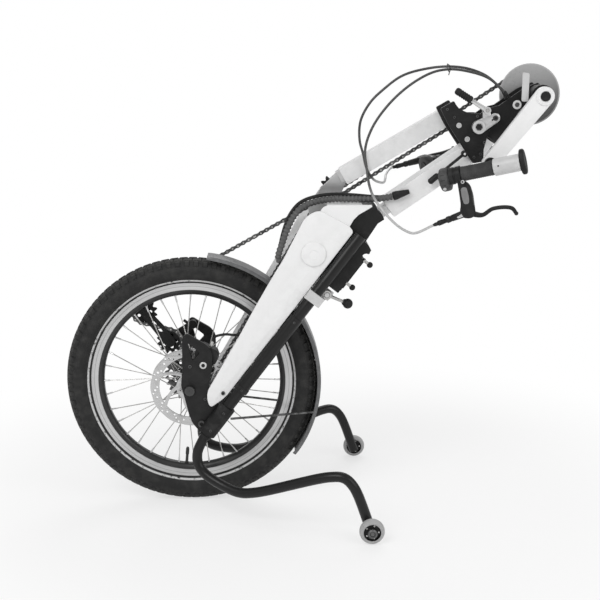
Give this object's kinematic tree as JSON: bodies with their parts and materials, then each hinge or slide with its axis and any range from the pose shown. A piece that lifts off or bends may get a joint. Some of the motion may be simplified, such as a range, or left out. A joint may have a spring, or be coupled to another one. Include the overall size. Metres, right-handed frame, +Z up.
{
  "type": "folding handcycle attachment",
  "caption": "Front drive wheel for a wheelchair with a folding mast, chain drive, twin crank grips with brake levers, docking box and caster stand.",
  "frame": {"origin": "middle of the bounding box's base, on the floor that the wheel and the casters stand on", "axes": "+X to the rear, towards the chair; +Y to the far side, which holds the chain; +Z up"},
  "size_m": [0.986, 0.5046, 0.882],
  "materials": {
    "black_plastic": "matt black moulded plastic",
    "rubber": "soft grip rubber",
    "tyre": "dark tyre rubber",
    "aluminium": "satin anodised aluminium",
    "black_aluminium": "satin black anodised aluminium",
    "white_aluminium": "white powder coat on aluminium",
    "steel": "bright steel",
    "pale_plastic": "pale grey plastic",
    "smoke": "smoked plastic disc",
    "grey_plastic": "mid grey plastic",
    "black_rail": "black anodised tube"
  },
  "bodies": {
    "frame": {"fork_plate_near": "white_aluminium", "fork_plate_far": "white_aluminium", "fork_bridge": "black_aluminium", "rail_near": "black_rail", "rail_far": "black_rail", "dropout_near": "black_aluminium", "dropout_far": "black_aluminium", "wheel_axle": "steel", "caliper": "black_aluminium", "fender": "grey_plastic", "stand_near": "black_rail", "stand_far": "black_rail", "dock_box": "black_plastic", "rail_clamp": "aluminium", "chain_lower": "steel", "derailleur_body": "black_aluminium", "pivot_pin": "white_aluminium", "cable_loom": "grey_plastic"},
    "wheel": {"tyre": "tyre", "rim": "aluminium", "hub_and_spokes": "steel", "brake_rotor": "steel"},
    "cassette": {"cassette": "steel"},
    "caster_near": {"caster_near": "rubber"},
    "caster_far": {"caster_far": "rubber"},
    "dock_slide": {"dock_slide": "black_aluminium"},
    "dock_lever": {"dock_lever": "black_plastic"},
    "derailleur_cage": {"derailleur_cage": "black_aluminium"},
    "guide_pulley": {"guide_pulley": "black_plastic"},
    "tension_pulley": {"tension_pulley": "black_plastic"},
    "mast": {"mast_knuckle": "white_aluminium", "mast_foot": "black_plastic", "lower_beam": "white_aluminium", "upper_beam": "white_aluminium", "idler_bracket": "aluminium", "chain_upper": "steel", "head_plate_near": "black_aluminium", "head_plate_far": "black_aluminium", "tilt_pin": "aluminium"},
    "idler_front": {"idler_front": "black_plastic"},
    "idler_rear": {"idler_rear": "black_plastic"},
    "idler_tilt": {"idler_tilt": "black_plastic"},
    "clamp_lever": {"clamp_lever": "black_plastic"},
    "release_lever": {"release_lever": "black_aluminium"},
    "crank_bracket": {"crank_bracket": "black_aluminium", "hose_near": "black_plastic", "hose_far": "black_plastic"},
    "crank": {"crank_arm_near": "white_aluminium", "crank_arm_far": "white_aluminium", "guard_disc": "smoke"},
    "grip_near": {"grip_core_near": "pale_plastic", "grip_rubber_near": "rubber", "grip_stop_near": "black_plastic", "brake_body_near": "black_aluminium"},
    "grip_far": {"grip_core_far": "pale_plastic", "grip_rubber_far": "rubber", "grip_stop_far": "black_plastic", "brake_body_far": "black_aluminium"},
    "brake_blade_near": {"brake_blade_near": "black_aluminium"},
    "brake_blade_far": {"brake_blade_far": "black_aluminium"}
  },
  "joints": [
    {"name": "wheel_spin", "type": "hinge", "parent": "frame", "child": "wheel", "pos_m": [-0.24, 0, 0.253], "axis": [0, 1, 0], "continuous": true},
    {"name": "cassette_spin", "type": "hinge", "parent": "frame", "child": "cassette", "pos_m": [-0.24, 0, 0.253], "axis": [0, 1, 0], "continuous": true},
    {"name": "caster_near_spin", "type": "hinge", "parent": "frame", "child": "caster_near", "pos_m": [0.108, -0.2365, 0.024], "axis": [0, 1, 0], "continuous": true},
    {"name": "caster_far_spin", "type": "hinge", "parent": "frame", "child": "caster_far", "pos_m": [0.108, 0.2365, 0.024], "axis": [0, 1, 0], "continuous": true},
    {"name": "dock_slide_move", "type": "slide", "parent": "frame", "child": "dock_slide", "axis": [0.606, 0, 0.7955], "range_m": [0, 0.01]},
    {"name": "dock_lever_turn", "type": "hinge", "parent": "frame", "child": "dock_lever", "pos_m": [0.03, -0.052, 0.439], "axis": [0, 1, 0], "range_deg": [0, 60]},
    {"name": "derailleur_swing", "type": "hinge", "parent": "frame", "child": "derailleur_cage", "pos_m": [-0.288, 0.045, 0.323], "axis": [0, 1, 0], "range_deg": [-8, 16], "stiffness_Nm_per_rad": 1.5, "deforming": ["chain_lower"]},
    {"name": "guide_spin", "type": "hinge", "parent": "derailleur_cage", "child": "guide_pulley", "pos_m": [-0.288, 0.045, 0.323], "axis": [0, 1, 0], "continuous": true},
    {"name": "tension_spin", "type": "hinge", "parent": "derailleur_cage", "child": "tension_pulley", "pos_m": [-0.339, 0.045, 0.385], "axis": [0, 1, 0], "continuous": true},
    {"name": "mast_fold", "type": "hinge", "parent": "frame", "child": "mast", "pos_m": [0.003, 0, 0.5247], "axis": [0, -1, 0], "range_deg": [0, 142], "deforming": ["chain_lower", "chain_upper", "cable_loom", "hose_near", "hose_far"]},
    {"name": "idler_front_spin", "type": "hinge", "parent": "mast", "child": "idler_front", "pos_m": [0.04, 0.045, 0.643], "axis": [0, 1, 0], "continuous": true},
    {"name": "idler_rear_spin", "type": "hinge", "parent": "mast", "child": "idler_rear", "pos_m": [0.012, 0.045, 0.573], "axis": [0, 1, 0], "continuous": true},
    {"name": "idler_tilt_spin", "type": "hinge", "parent": "mast", "child": "idler_tilt", "pos_m": [0.3188, 0.045, 0.7633], "axis": [0, 1, 0], "continuous": true},
    {"name": "clamp_lever_turn", "type": "hinge", "parent": "mast", "child": "clamp_lever", "pos_m": [0.332, -0.0549, 0.795], "axis": [0, 1, 0], "range_deg": [0, 110]},
    {"name": "release_lever_turn", "type": "hinge", "parent": "mast", "child": "release_lever", "pos_m": [0.2928, -0.0453, 0.7124], "axis": [0, 1, 0], "range_deg": [0, 20]},
    {"name": "head_tilt", "type": "hinge", "parent": "mast", "child": "crank_bracket", "pos_m": [0.3188, 0, 0.7633], "axis": [0, -1, 0], "range_deg": [-30, 25], "deforming": ["chain_upper", "hose_near", "hose_far"]},
    {"name": "crank_spin", "type": "hinge", "parent": "crank_bracket", "child": "crank", "pos_m": [0.433, 0, 0.822], "axis": [0, 1, 0], "continuous": true, "deforming": ["chain_upper", "hose_near", "hose_far"]},
    {"name": "grip_near_spin", "type": "hinge", "parent": "crank", "child": "grip_near", "pos_m": [0.334, -0.092, 0.6975], "axis": [0, 1, 0], "continuous": true, "deforming": ["hose_near"]},
    {"name": "grip_far_spin", "type": "hinge", "parent": "crank", "child": "grip_far", "pos_m": [0.334, 0.092, 0.6975], "axis": [0, 1, 0], "continuous": true, "deforming": ["hose_far"]},
    {"name": "brake_near_squeeze", "type": "hinge", "parent": "grip_near", "child": "brake_blade_near", "pos_m": [0.29463, -0.13543, 0.60921], "axis": [-0.3746, -0.9272, 0], "range_deg": [0, 12], "stiffness_Nm_per_rad": 0.5, "springref_deg": -5.73},
    {"name": "brake_far_squeeze", "type": "hinge", "parent": "grip_far", "child": "brake_blade_far", "pos_m": [0.25013, 0.199, 0.68277], "axis": [0.2139, 0.0864, -0.973], "range_deg": [0, 12], "stiffness_Nm_per_rad": 0.5, "springref_deg": -5.73}
  ],
  "couplings": [
    {"joint": "cassette_spin", "follows": "crank_spin", "ratio": 1.3333},
    {"joint": "guide_spin", "follows": "crank_spin", "ratio": -2},
    {"joint": "tension_spin", "follows": "crank_spin", "ratio": 2},
    {"joint": "idler_front_spin", "follows": "crank_spin", "ratio": -3},
    {"joint": "idler_rear_spin", "follows": "crank_spin", "ratio": -3},
    {"joint": "idler_tilt_spin", "follows": "crank_spin", "ratio": -3}
  ]
}
